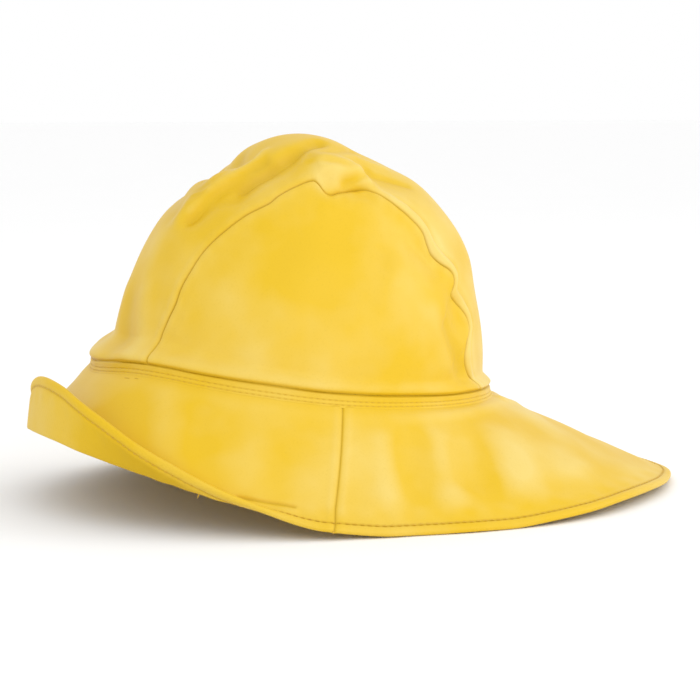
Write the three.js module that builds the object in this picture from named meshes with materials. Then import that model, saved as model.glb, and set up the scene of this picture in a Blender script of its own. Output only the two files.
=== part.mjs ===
// A sou'wester: a fisherman's rain hat sewn from thick coated cloth. The crown is a dome of two side panels
// and a strip that runs over the head between them. A narrow band joins it to the brim. The brim is short
// in front, where its edge is turned up into a gutter, and long at the back. Lengths are millimetres and
// angles are degrees. The hat faces -Y, its left side is +X, and it rests on z = 0.
import * as THREE from "three";

// The dome is three half axes about a centre over the origin of the crown, tipped back so that its front is
// high.
const DOME = { side: 86, front: 95, back: 98, height: 123, centreY: 1.5, centreZ: 62, tipBack: 6.3 };
// Half the width of the strip over the head, by the angle over the head from the front of the crown's foot.
// Puckers make its seams wavy at the back.
const STRIP = [
  { angle: 0, halfWidth: 44 },
  { angle: 20, halfWidth: 46.5 },
  { angle: 40, halfWidth: 49.2 },
  { angle: 58, halfWidth: 51.8 },
  { angle: 75, halfWidth: 50.5 },
  { angle: 90, halfWidth: 53 },
  { angle: 105, halfWidth: 51.8 },
  { angle: 120, halfWidth: 52.4 },
  { angle: 130, halfWidth: 56.6 },
  { angle: 141, halfWidth: 52.2 },
  { angle: 149, halfWidth: 57.4 },
  { angle: 158, halfWidth: 51.5 },
  { angle: 167, halfWidth: 56.6 },
  { angle: 180, halfWidth: 51.5 },
];
// Cloth thicknesses: the brim is stiffer than the crown, and the folded hem at its rim is thicker.
const CROWN_CLOTH = 1.4;
const BRIM_CLOTH = 2;
const HEM_CLOTH = 2.6;
// The hem's width, and the share of it that is fully thick. The cloth thins over the rest.
const HEM_WIDTH = 9;
const HEM_THICK_SHARE = 0.7;
// How far from the corner of the brim's fold the cloth starts to bend, and the most of the upright that
// bends.
const FOLD_BEND = 5;
const BENT_SHARE = 0.45;
// The rim's level end is never wider than the hem's thickness divided by this.
const LEVEL_LEAST = 0.5;
// Sewn pieces are drawn this far apart.
const GAP = 0.3;
// The crown's centre lies ahead of the hat's middle, because the brim reaches further back than forward.
const FRONT_REACH = 137;
const BACK_REACH = 209;
const CROWN_Y = (FRONT_REACH - BACK_REACH) / 2;

// The crown's foot, by the angle round from the front: how far the cloth flares out there, the height over
// which it does so, and how high the foot lies above the plane through the dome's centre.
const CROWN_FOOT = [
  { angle: 0, flare: 11.5, flareHeight: 13, rise: -0.3 },
  { angle: 30, flare: 9, flareHeight: 12, rise: 3.9 },
  { angle: 60, flare: 4.6, flareHeight: 9, rise: 1.9 },
  { angle: 90, flare: 2, flareHeight: 7, rise: 0 },
  { angle: 120, flare: 2.4, flareHeight: 7, rise: 1 },
  { angle: 150, flare: 4.2, flareHeight: 7, rise: 2.6 },
  { angle: 180, flare: 5.5, flareHeight: 7, rise: 3.2 },
];

// The dents and folds of the crown. Each runs between two points of the dome, given by their places across
// and along the hat and above the floor, and stands proud of it by its height, or lies below it where that
// is negative.
const CROWN_FOLDS = [
  { name: "notch ahead of the top", from: [-34, -43, 164], to: [8, -31, 173], width: 13, height: -9 },
  { name: "ridge down from the notch", from: [12, -36, 168], to: [20, -62, 145], width: 7, height: 3 },
  { name: "valley beside that ridge", from: [31, -23, 170], to: [28, -57, 146], width: 7, height: -3.5 },
  { name: "valley above the seam", from: [34, -8, 172], to: [38, -38, 158], width: 8, height: -4.5 },
  { name: "hump over the seam", from: [38, 0, 172], to: [44, 26, 166], width: 8, height: 4.5 },
  { name: "tuck below the hump", from: [51, 4, 161], to: [51, 24, 160], width: 6, height: -3 },
  { name: "dent behind the top", from: [-24, 34, 172], to: [36, 32, 169], width: 16, height: -6 },
  { name: "end of that dent", from: [-20, 50, 164], to: [32, 47, 162], width: 12, height: -3 },
  { name: "shoulder at the back", from: [-20, 84, 132], to: [20, 84, 132], width: 20, height: 2.5 },
  { name: "dent high on the side", from: [66, 12, 140], to: [60, 42, 135], width: 15, height: -3.5 },
  { name: "puckers in the back seam", from: [57, 52, 128], to: [56, 57, 120], width: 8, height: -3 },
  { name: "lower pucker in the back seam", from: [55, 70, 100], to: [58, 72, 92], width: 8, height: -3 },
  { name: "far front shoulder", from: [-50, -44, 150], to: [-48, -22, 158], width: 16, height: 6 },
];

// The profile of the band, out from the crown's foot and up from it. Its foot turns out to meet the brim.
const BAND_PROFILE = [
  { out: -2.4, up: -0.4 },
  { out: -0.5, up: -0.4 },
  { out: -0.9, up: -2.6 },
  { out: 0.3, up: -5.2 },
  { out: -1.8, up: -5.2 },
  { out: -2.9, up: -2.6 },
];
// Where the underside of the brim starts, out from the crown's foot and up from it.
const BRIM_START = { out: -1, up: -7.3 };

// The brim by the angle round from the front. The fold is where its edge turns up, and the rim is its end.
// Both are places on its underside, by their reach from the crown's centre and their height above the
// floor. The rim's end is cut level, to rest on the floor, where level is 1, and square to the cloth where
// it is 0.
const BRIM = [
  { angle: 0, foldReach: 138, foldHeight: 36.6, rimReach: 133.8, rimHeight: 66.8, level: 0 },
  { angle: 5, foldReach: 138, foldHeight: 36.4, rimReach: 133.8, rimHeight: 66, level: 0 },
  { angle: 10, foldReach: 137.6, foldHeight: 35.6, rimReach: 133.6, rimHeight: 63.8, level: 0 },
  { angle: 16, foldReach: 136.8, foldHeight: 33.6, rimReach: 133.4, rimHeight: 59.2, level: 0 },
  { angle: 24, foldReach: 135, foldHeight: 30.6, rimReach: 132.8, rimHeight: 52, level: 0 },
  { angle: 35, foldReach: 132, foldHeight: 25.4, rimReach: 132, rimHeight: 40.8, level: 0 },
  { angle: 45, foldReach: 129, foldHeight: 20, rimReach: 131, rimHeight: 31.2, level: 0 },
  { angle: 60, foldReach: 124.5, foldHeight: 12.8, rimReach: 130, rimHeight: 16.9, level: 0 },
  { angle: 75, foldReach: 122, foldHeight: 9.6, rimReach: 129.5, rimHeight: 4.6, level: 0 },
  { angle: 86, foldReach: 123.6, foldHeight: 8, rimReach: 129.8, rimHeight: 1.4, level: 0.4 },
  { angle: 93, foldReach: 125.4, foldHeight: 7.4, rimReach: 131, rimHeight: 0.2, level: 1 },
  { angle: 100, foldReach: 127.6, foldHeight: 7.2, rimReach: 133, rimHeight: 0, level: 1 },
  { angle: 110, foldReach: 134.3, foldHeight: 6.9, rimReach: 140, rimHeight: 0, level: 1 },
  { angle: 120, foldReach: 142.6, foldHeight: 6.6, rimReach: 149, rimHeight: 0, level: 1 },
  { angle: 135, foldReach: 158, foldHeight: 7.4, rimReach: 165.2, rimHeight: 2.4, level: 0 },
  { angle: 150, foldReach: 172, foldHeight: 8.4, rimReach: 180, rimHeight: 4.2, level: 0 },
  { angle: 165, foldReach: 188, foldHeight: 6.6, rimReach: 196.5, rimHeight: 2.6, level: 0 },
  { angle: 180, foldReach: 199.5, foldHeight: 3.6, rimReach: 208, rimHeight: 0, level: 0 },
];
// The brim sits a little turned on the crown: at its front by this angle, and less and less towards its
// back.
const BRIM_TWIST = 10;
// The seam at each side that joins the front and back of the brim leans forward on its way to the rim.
const SIDE_SEAM = { atBand: 90, atRim: 83.5 };
// The share of the brim's width at its sides that lies before the fold or the hem.
const SLOPE_SHARE = 0.85;

// How finely each form is divided into faces.
const STEPS = {
  overHead: 56,
  acrossStrip: 11,
  downPanel: 9,
  roundBand: 72,
  roundFrontBrim: 40,
  roundBackBrim: 40,
  slope: 4,
  turn: 3,
  upright: 2,
};

const YELLOW = { color: 0xf7ce3c, roughness: 0.45, metalness: 0 };

// Two places closer than this angle, in radians, are one.
const SAME_PLACE = 1e-6;
// Corners of faces that agree to this many parts of a millimetre are one corner.
const CORNER_PARTS = 1000;

const radians = THREE.MathUtils.degToRad;
const degrees = THREE.MathUtils.radToDeg;
const lerp = THREE.MathUtils.lerp;
const clamp = THREE.MathUtils.clamp;

// Whole numbers from 0 to count, as shares of count.
function shares(count) {
  return Array.from({ length: count + 1 }, (_, i) => i / count);
}

// A value of a table at an angle, on a smooth curve through its rows. The hat is the same on its two sides.
function atAngle(table, column, angle) {
  const a = Math.abs(angle);
  const last = table.length - 1;
  const row = (i) => {
    const mirrored = i < 0 ? -i : i > last ? 2 * last - i : i;
    const turned = i < 0 ? -1 : 1;
    const beyond = i > last ? 360 - table[mirrored].angle : turned * table[mirrored].angle;
    return { angle: beyond, value: table[mirrored][column] };
  };
  let i = 0;
  while (i < last - 1 && a > table[i + 1].angle) i += 1;
  const [before, start, end, after] = [i - 1, i, i + 1, i + 2].map(row);
  const span = end.angle - start.angle;
  const t = clamp((a - start.angle) / span, 0, 1);
  const startSlope = ((end.value - before.value) / (end.angle - before.angle)) * span;
  const endSlope = ((after.value - start.value) / (after.angle - start.angle)) * span;
  const t2 = t * t;
  const t3 = t2 * t;
  return (
    (2 * t3 - 3 * t2 + 1) * start.value +
    (t3 - 2 * t2 + t) * startSlope +
    (3 * t2 - 2 * t3) * end.value +
    (t3 - t2) * endSlope
  );
}

// Unit places are points of a unit ball, which the dome's half axes stretch into the dome.
function domePoint(unit) {
  const along = unit.y < 0 ? DOME.front : DOME.back;
  const tip = radians(DOME.tipBack);
  const y = unit.y * along;
  const z = unit.z * DOME.height;
  return new THREE.Vector3(
    unit.x * DOME.side,
    DOME.centreY + y * Math.cos(tip) + z * Math.sin(tip),
    DOME.centreZ - y * Math.sin(tip) + z * Math.cos(tip),
  );
}

function domeNormal(unit) {
  const along = unit.y < 0 ? DOME.front : DOME.back;
  const tip = radians(DOME.tipBack);
  const y = unit.y / along;
  const z = unit.z / DOME.height;
  return new THREE.Vector3(
    unit.x / DOME.side,
    y * Math.cos(tip) + z * Math.sin(tip),
    -y * Math.sin(tip) + z * Math.cos(tip),
  ).normalize();
}

// The angle round from the front of a unit place, or of a point beside the crown's centre.
function angleOf(place) {
  return degrees(Math.atan2(place.x, -place.y));
}

// The height of the folds at a point: each fades with the square of the distance from its line.
function foldHeight(point) {
  let sum = 0;
  for (const fold of CROWN_FOLDS) {
    const line = new THREE.Line3(new THREE.Vector3(...fold.from), new THREE.Vector3(...fold.to));
    const nearest = line.closestPointToPoint(point, true, new THREE.Vector3());
    sum += fold.height * Math.exp(-((nearest.distanceTo(point) / fold.width) ** 2));
  }
  return sum;
}

// The unit place of the crown's foot at an angle.
function footUnit(angle) {
  const up = atAngle(CROWN_FOOT, "rise", angle) / DOME.height;
  const flat = Math.sqrt(1 - up * up);
  const a = radians(angle);
  return new THREE.Vector3(flat * Math.sin(a), -flat * Math.cos(a), up);
}

// A point of the crown's cloth: on the dome, moved by the folds, and flared out near the foot.
function crownPoint(unit, depth) {
  const point = domePoint(unit);
  const normal = domeNormal(unit);
  const angle = angleOf(unit);
  const aboveFoot = unit.z * DOME.height - atAngle(CROWN_FOOT, "rise", angle);
  const t = clamp(aboveFoot / atAngle(CROWN_FOOT, "flareHeight", angle), 0, 1);
  const flare = atAngle(CROWN_FOOT, "flare", angle) * (1 - t * t * (3 - 2 * t));
  const outward = new THREE.Vector3(normal.x, normal.y, 0).normalize();
  const moved = foldHeight(point) - depth;
  return point.addScaledVector(normal, moved).addScaledVector(outward, flare);
}

// The unit place at a share of the way over the head and of the way across the strip, from -1 to 1.
// The strip's edge is moved outwards by a margin.
function stripUnit(share, across, margin) {
  const xAt = (angle) => (Math.abs(across) * (atAngle(STRIP, "halfWidth", angle) + margin)) / DOME.side;
  const footTurn = (x, angle) => degrees(Math.asin(footUnit(angle).z / Math.sqrt(1 - x * x)));
  const [front, back] = [xAt(0), xAt(180)];
  const start = footTurn(front, degrees(Math.asin(front)));
  const end = 180 - footTurn(back, 180 - degrees(Math.asin(back)));
  const turn = radians(lerp(start, end, share));
  const x = Math.sign(across) * xAt(lerp(0, 180, share));
  const flat = Math.sqrt(1 - x * x);
  return new THREE.Vector3(x, -flat * Math.cos(turn), flat * Math.sin(turn));
}

// The unit place a share of the way down a side panel, from its top seam to the crown's foot.
function panelUnit(share, down, margin) {
  const top = stripUnit(share, 1, margin);
  const corners = [stripUnit(0, 1, margin), stripUnit(1, 1, margin)].map(angleOf);
  const foot = footUnit(lerp(corners[0], corners[1], share));
  const between = top.angleTo(foot);
  if (between < SAME_PLACE) return top;
  const fromTop = Math.sin((1 - down) * between) / Math.sin(between);
  const fromFoot = Math.sin(down * between) / Math.sin(between);
  return top.multiplyScalar(fromTop).addScaledVector(foot, fromFoot).normalize();
}

// A closed mesh from faces that are given by their corner points. Faces with two equal corners are left
// out.
class Faces {
  constructor() {
    this.places = [];
    this.corners = [];
    this.known = new Map();
  }

  corner(point) {
    const key = point.toArray().map((v) => Math.round(v * CORNER_PARTS)).join();
    if (!this.known.has(key)) {
      this.known.set(key, this.known.size);
      this.places.push(...point.toArray());
    }
    return this.known.get(key);
  }

  triangle(...points) {
    const [a, b, c] = points.map((p) => this.corner(p));
    if (a !== b && b !== c && c !== a) this.corners.push(a, b, c);
  }

  quad(a, b, c, d) {
    this.triangle(a, b, c);
    this.triangle(a, c, d);
  }

  // Joins each row of points to the next, and each point to the one after it.
  grid(rows) {
    for (let i = 0; i + 1 < rows.length; i += 1)
      for (let j = 0; j + 1 < rows[i].length; j += 1)
        this.quad(rows[i][j], rows[i + 1][j], rows[i + 1][j + 1], rows[i][j + 1]);
  }

  geometry() {
    const made = new THREE.BufferGeometry();
    made.setAttribute("position", new THREE.Float32BufferAttribute(this.places, 3));
    made.setIndex(this.corners);
    made.computeVertexNormals();
    return made;
  }
}

// A piece of cloth between an outer and an inner grid of points, closed by a wall along its four sides.
function cloth(outer, inner) {
  const faces = new Faces();
  const last = outer.length - 1;
  const end = outer[0].length - 1;
  faces.grid(outer);
  faces.grid(inner.map((row) => [...row].reverse()));
  faces.grid([inner[0], outer[0]]);
  faces.grid([outer[last], inner[last]]);
  faces.grid([outer.map((row) => row[0]), inner.map((row) => row[0])]);
  faces.grid([inner.map((row) => row[end]), outer.map((row) => row[end])]);
  return faces.geometry();
}

function crownStrip() {
  const layer = (depth) =>
    shares(STEPS.acrossStrip).map((u) =>
      shares(STEPS.overHead).map((s) => crownPoint(stripUnit(s, lerp(-1, 1, u), -GAP / 2), depth)),
    );
  return cloth(layer(0), layer(CROWN_CLOTH));
}

// The side panel on +X. The other is its mirror, apart from the folds, which lie where they lie.
function crownPanel(side) {
  const layer = (depth) =>
    shares(STEPS.downPanel).map((down) =>
      shares(STEPS.overHead).map((s) => {
        const unit = panelUnit(s, down, GAP / 2);
        unit.x *= side;
        return crownPoint(unit, depth);
      }),
    );
  const grids = [layer(0), layer(CROWN_CLOTH)];
  if (side < 0) grids.forEach((rows) => rows.reverse());
  return cloth(...grids);
}

// A point near the crown's foot, given by its distance out from the foot and up from it.
function besideFoot(angle, { out, up }) {
  const unit = footUnit(angle);
  const outward = domeNormal(unit).setZ(0).normalize();
  const point = crownPoint(unit, 0).addScaledVector(outward, out);
  point.z += up;
  return point;
}

function crownBand() {
  const rings = [...BAND_PROFILE, BAND_PROFILE[0]].map((place) =>
    shares(STEPS.roundBand).map((s) => besideFoot(s * 360 - 180, place)),
  );
  const faces = new Faces();
  faces.grid(rings);
  return faces.geometry();
}

// One section of the brim, as pairs of points on its underside and on its top, from the band to the rim.
// It runs straight to the fold, turns there, and goes on to the rim.
function brimSection(angle) {
  const turned = angle - BRIM_TWIST * Math.cos(radians(angle / 2)) ** 4;
  const value = (column) => atAngle(BRIM, column, turned);
  const outward = new THREE.Vector3(Math.sin(radians(angle)), -Math.cos(radians(angle)), 0);
  const place = (reach, height) => outward.clone().multiplyScalar(reach).setZ(height);
  const start = besideFoot(angle, BRIM_START);
  const fold = place(value("foldReach"), value("foldHeight"));
  const rim = place(value("rimReach"), Math.max(0, value("rimHeight")));
  const bend = Math.min(FOLD_BEND, BENT_SHARE * fold.distanceTo(rim));
  const toFold = fold.clone().addScaledVector(start.clone().sub(fold).normalize(), bend);
  const fromFold = fold.clone().addScaledVector(rim.clone().sub(fold).normalize(), bend);
  const turn = new THREE.QuadraticBezierCurve3(toFold, fold, fromFold);
  const under = [
    ...shares(STEPS.slope).slice(0, -1).map((s) => start.clone().lerp(toFold, s)),
    ...turn.getPoints(STEPS.turn),
    ...shares(STEPS.upright).slice(1).map((s) => fromFold.clone().lerp(rim, s)),
  ];
  const across = rim.clone().sub(start).setZ(0).normalize();
  const level = clamp(value("level"), 0, 1);
  return under.map((point, i) => {
    const ahead = under[Math.min(i + 1, under.length - 1)];
    const along = ahead.clone().sub(under[Math.max(i - 1, 0)]).normalize();
    const out = along.dot(across);
    const square = across.clone().multiplyScalar(-along.z).setZ(out);
    const thin = THREE.MathUtils.smoothstep(point.distanceTo(rim), HEM_WIDTH * HEM_THICK_SHARE, HEM_WIDTH);
    const thickness = lerp(HEM_CLOTH, BRIM_CLOTH, thin);
    const atRim = i === under.length - 1 ? level : 0;
    const flat = across.clone().multiplyScalar(1 / Math.max(-along.z, LEVEL_LEAST));
    const top = point.clone().addScaledVector(square.lerp(flat, atRim), thickness);
    return { under: point, top };
  });
}

// The brim between two seams, given by their angles at a share of the way from the band to the rim.
function brim(from, to, columns) {
  const edgeSteps = STEPS.turn + STEPS.upright;
  const downShares = [
    ...shares(STEPS.slope).map((share) => share * SLOPE_SHARE),
    ...shares(edgeSteps).slice(1).map((share) => lerp(SLOPE_SHARE, 1, share)),
  ];
  const grid = (side) =>
    downShares.map((down, row) =>
      shares(columns).map((s) => {
        const angle = lerp(from(down), to(down), s);
        return brimSection(angle > 180 ? angle - 360 : angle)[row][side];
      }),
    );
  return cloth(grid("top"), grid("under"));
}

// The angle of the side seam at a share of the way to the rim, moved by half the gap to one side of it.
function seamAngle(share, side) {
  return lerp(SIDE_SEAM.atBand, SIDE_SEAM.atRim, share) + side * degrees(GAP / 2 / DOME.side);
}

function frontBrim() {
  return brim((v) => -seamAngle(v, -1), (v) => seamAngle(v, -1), STEPS.roundFrontBrim);
}

function backBrim() {
  return brim((v) => seamAngle(v, 1), (v) => 360 - seamAngle(v, 1), STEPS.roundBackBrim);
}

const hat = new THREE.Group();
hat.position.y = CROWN_Y;
const pieces = {
  crown_centre_strip: crownStrip(),
  crown_left_panel: crownPanel(1),
  crown_right_panel: crownPanel(-1),
  crown_band: crownBand(),
  brim_front: frontBrim(),
  brim_back: backBrim(),
};
for (const [name, geometry] of Object.entries(pieces)) {
  const mesh = new THREE.Mesh(geometry, new THREE.MeshStandardMaterial(YELLOW));
  mesh.name = name;
  hat.add(mesh);
}

export default hat;
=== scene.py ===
"""A sou'wester rain hat in yellow coated cloth, lying on a pale floor.

Lengths are millimetres in the crown's own frame: x = y = 0 is the crown's centre, z = 0 is the
floor and the hat faces -y. placed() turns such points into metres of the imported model. Angles are
degrees round from the front.
"""
import logging
from dataclasses import dataclass, field
from enum import Enum
from typing import Any, Optional

import bmesh
import bpy
import numpy as np
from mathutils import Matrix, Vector


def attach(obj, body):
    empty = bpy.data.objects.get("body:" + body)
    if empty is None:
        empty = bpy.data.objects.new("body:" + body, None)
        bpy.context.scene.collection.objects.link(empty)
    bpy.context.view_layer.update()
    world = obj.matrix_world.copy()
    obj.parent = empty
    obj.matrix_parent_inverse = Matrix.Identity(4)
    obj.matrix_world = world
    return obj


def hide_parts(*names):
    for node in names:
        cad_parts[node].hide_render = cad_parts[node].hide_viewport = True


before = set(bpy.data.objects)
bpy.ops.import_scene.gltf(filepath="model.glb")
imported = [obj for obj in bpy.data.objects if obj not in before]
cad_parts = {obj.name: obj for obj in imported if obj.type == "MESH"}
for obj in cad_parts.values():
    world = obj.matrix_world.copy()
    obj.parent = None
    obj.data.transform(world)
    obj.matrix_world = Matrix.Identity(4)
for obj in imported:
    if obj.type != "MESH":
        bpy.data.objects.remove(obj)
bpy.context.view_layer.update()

Array = np.ndarray
log = logging.getLogger("hat")

BODY = "root"
MM = 0.001
CROWN_Y = -36.0
UP = np.array([0.0, 0.0, 1.0])
LEVEL = np.array([1.0, 1.0, 0.0])
MERGED = 1e-6
SHARP = 50.0
# The mesh attributes that carry painted light: painted shade in creases, seams and valleys, painted
# bounce light from yellow cloth nearby, and painted highlights on crests.
LOOKS = ("painted_shade", "painted_bounce", "painted_highlight")


# Numbers and arrays


def smoothstep(x: Array, low: float, high: float) -> Array:
    """0 below low, 1 above high, and 3t^2 - 2t^3 between them."""
    t = np.clip((x - low) / (high - low), 0.0, 1.0)
    return t * t * (3.0 - 2.0 * t)


def bell(distance: Array, width: float) -> Array:
    """exp(-(distance / width)^2): 1 on a line, and fading to both sides of it."""
    return np.exp(-((distance / width) ** 2))


def mixed(a: Any, b: Any, share: Any) -> Any:
    """a + (b - a) share."""
    return a + (b - a) * share


def unit(v: Array) -> Array:
    """v divided by its length, along the last axis."""
    return v / np.maximum(np.linalg.norm(v, axis=-1, keepdims=True), 1e-12)


def dot(a: Array, b: Array) -> Array:
    """The scalar product along the last axis."""
    return np.sum(a * b, axis=-1)


def stacked(*parts: Any) -> Array:
    """Joins coordinates, each an array or a number, into points along a new last axis."""
    return np.stack(np.broadcast_arrays(*parts), axis=-1)


def eased(count: int, ends: float) -> Array:
    """count + 1 shares from 0 to 1 that lie closer together at both ends.

    Args:
        count: The number of steps.
        ends: From 0 for even steps to 1 for steps that shrink to nothing at the ends.

    Returns:
        The shares t + (3t^2 - 2t^3 - t) ends, for even t.
    """
    t = np.linspace(0.0, 1.0, count + 1)
    return mixed(t, t * t * (3.0 - 2.0 * t), ends)


def placed(points: Array) -> Array:
    """Points of the crown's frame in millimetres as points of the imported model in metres."""
    return (points + np.array([0.0, CROWN_Y, 0.0])) * MM


def look(painted_shade: Any = 0.0, painted_bounce: Any = 0.0, painted_highlight: Any = 0.0) -> Array:
    """The three values from 0 to 1 that tint the cloth, in the order of LOOKS.

    Args:
        painted_shade: Painted shade where a point lies in creases, seams or valleys: the yellow is
            deeper there.
        painted_bounce: Painted bounce light: how strongly yellow cloth nearby colours the light.
        painted_highlight: Painted highlight: how far a point stands out on a fold's crest, where
            the yellow is paler.

    Returns:
        The values along a new last axis.
    """
    return np.clip(stacked(painted_shade, painted_bounce, painted_highlight), 0.0, 1.0)


@dataclass(frozen=True)
class AngleTable:
    """Named values at angles from 0 to 180 degrees, the same on both sides of the hat."""

    names: tuple[str, ...]
    rows: tuple[tuple[float, ...], ...]

    def at(self, name: str, angle: Array) -> Array:
        """The value at any angle, on a smooth cubic through the rows, mirrored past both ends.

        Args:
            name: A column of the table.
            angle: Angles in degrees.

        Returns:
            A value for each angle: a cubic Hermite curve whose slope at a row is that between
            its neighbours.
        """
        table = np.array(self.rows)
        x, v = table[:, 0], table[:, self.names.index(name)]
        x = np.concatenate([[-x[1]], x, [360.0 - x[-2]]])
        v = np.concatenate([[v[1]], v, [v[-2]]])
        a = np.abs((np.asarray(angle) + 180.0) % 360.0 - 180.0)
        i = np.clip(np.searchsorted(x[1:-1], a, side="right"), 1, len(x) - 3)
        span = x[i + 1] - x[i]
        t = np.clip((a - x[i]) / span, 0.0, 1.0)
        start = (v[i + 1] - v[i - 1]) / (x[i + 1] - x[i - 1]) * span
        end = (v[i + 2] - v[i]) / (x[i + 2] - x[i]) * span
        t2, t3 = t * t, t * t * t
        return (
            (2 * t3 - 3 * t2 + 1) * v[i]
            + (t3 - 2 * t2 + t) * start
            + (3 * t2 - 2 * t3) * v[i + 1]
            + (t3 - t2) * end
        )


@dataclass(frozen=True)
class Wave:
    """A ripple: height sin(a first + b second + phase), of two arrays a and b."""

    height: float
    first: float
    second: float = 0.0
    phase: float = 0.0

    def rise(self, a: Array, b: Any = 0.0) -> Array:
        """The ripple's height at a and b."""
        return self.height * np.sin(a * self.first + b * self.second + self.phase)


@dataclass(frozen=True)
class Mound:
    """A rise beside a line: height exp(-((d - at) / width)^2) at the distance d from it."""

    height: float
    at: float
    width: float

    def rise(self, distance: Array) -> Array:
        """The rise at a distance."""
        return self.height * bell(distance - self.at, self.width)


@dataclass(frozen=True)
class Fold:
    """A fold or dent along a path. It stands proud by its height, or lies below the cloth where
    that is negative, and fades to both sides over its width."""

    width: float
    height: float
    path: tuple[tuple[float, ...], ...]

    def rise(self, points: Array) -> Array:
        """The rise height exp(-(d / width)^2), for the distance d from the nearest segment.

        Args:
            points: Points, in as many coordinates as the path has.

        Returns:
            The rise of each point.
        """
        nearest = np.full(points.shape[:-1], np.inf)
        for start, end in zip(self.path[:-1], self.path[1:]):
            a, b = np.array(start), np.array(end)
            t = np.clip(dot(points - a, b - a) / dot(b - a, b - a), 0.0, 1.0)
            away = np.linalg.norm(points - a - t[..., None] * (b - a), axis=-1)
            nearest = np.minimum(nearest, away)
        return self.height * bell(nearest, self.width)


# Meshes


@dataclass
class Grid:
    """A mesh in the making: grids of points, joined by four-sided faces, each with a finish."""

    points: list[Array] = field(default_factory=list)
    quads: list[Array] = field(default_factory=list)
    finishes: list[Array] = field(default_factory=list)
    looks: list[Array] = field(default_factory=list)
    count: int = 0

    def add(self, points: Array, looks: Optional[Array] = None) -> Array:
        """Adds a grid of points.

        Args:
            points: Points of shape rows, columns, 3.
            looks: The look of each point, of the same shape.

        Returns:
            The number of each point, of shape rows, columns.
        """
        rows, columns = points.shape[:2]
        numbers = np.arange(rows * columns).reshape(rows, columns) + self.count
        self.points.append(points.reshape(-1, 3))
        shown = look() if looks is None else looks
        self.looks.append(np.broadcast_to(shown, (rows, columns, 3)).reshape(-1, 3))
        self.count += rows * columns
        return numbers

    def face(self, numbers: Array, finish: int) -> None:
        """Joins each point of a grid to its neighbours, by faces that face away from
        rows x columns.

        Args:
            numbers: The points' numbers, of shape rows, columns.
            finish: The number of the faces' finish.
        """
        corners = [numbers[:-1, :-1], numbers[1:, :-1], numbers[1:, 1:], numbers[:-1, 1:]]
        self.quads.append(np.stack(corners, axis=-1).reshape(-1, 4))
        self.finishes.append(np.full(len(self.quads[-1]), finish))

    def cloth(
        self, outer: Array, inner: Array, looks: Array, inner_looks: Optional[Array] = None
    ) -> None:
        """Adds a piece of cloth between two grids of points and closes it along its four sides.

        Args:
            outer: The coated face, of shape rows, columns, 3.
            inner: The face with the backing, of the same shape.
            looks: The look of the coated face.
            inner_looks: The look of the backing.
        """
        top = self.add(outer, looks)
        under = self.add(inner, inner_looks)
        self.face(top, 0)
        self.face(under[:, ::-1], 1)
        self.face(np.stack([under[0], top[0]]), 0)
        self.face(np.stack([top[-1], under[-1]]), 0)
        self.face(np.stack([top[:, 0], under[:, 0]]), 0)
        self.face(np.stack([under[:, -1], top[:, -1]]), 0)

    def made(self, name: str, materials: list[bpy.types.Material]) -> bpy.types.Object:
        """Makes the mesh object, merges points that coincide, and smooths all but its corners.

        Args:
            name: The object's name.
            materials: The finishes that the faces' numbers stand for.

        Returns:
            The object, linked to the scene, with its place in its mesh.
        """
        points = placed(np.concatenate(self.points))
        quads = np.concatenate(self.quads)
        mesh = bpy.data.meshes.new(name)
        mesh.vertices.add(len(points))
        mesh.vertices.foreach_set("co", points.astype(np.float32).ravel())
        mesh.loops.add(quads.size)
        mesh.loops.foreach_set("vertex_index", quads.astype(np.int32).ravel())
        mesh.polygons.add(len(quads))
        mesh.polygons.foreach_set("loop_start", np.arange(0, quads.size, 4, dtype=np.int32))
        finishes = np.concatenate(self.finishes).astype(np.int32)
        mesh.polygons.foreach_set("material_index", finishes)
        for label, values in zip(LOOKS, np.concatenate(self.looks).T):
            layer = mesh.attributes.new(label, "FLOAT", "POINT")
            layer.data.foreach_set("value", np.ascontiguousarray(values, dtype=np.float32))
        mesh.update(calc_edges=True)
        shape = bmesh.new()
        shape.from_mesh(mesh)
        bmesh.ops.remove_doubles(shape, verts=shape.verts, dist=MERGED)
        shape.to_mesh(mesh)
        shape.free()
        mesh.shade_smooth()
        mesh.set_sharp_from_angle(angle=float(np.radians(SHARP)))
        for material in materials:
            mesh.materials.append(material)
        made = bpy.data.objects.new(name, mesh)
        bpy.context.scene.collection.objects.link(made)
        return made


def joined(grids: list[Grid]) -> Grid:
    """Puts grids together and renumbers their points.

    Args:
        grids: The grids.

    Returns:
        One grid with everything that they hold.
    """
    whole = Grid()
    for grid in grids:
        whole.points += grid.points
        whole.looks += grid.looks
        whole.finishes += grid.finishes
        whole.quads += [quads + whole.count for quads in grid.quads]
        whole.count += grid.count
    return whole


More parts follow.
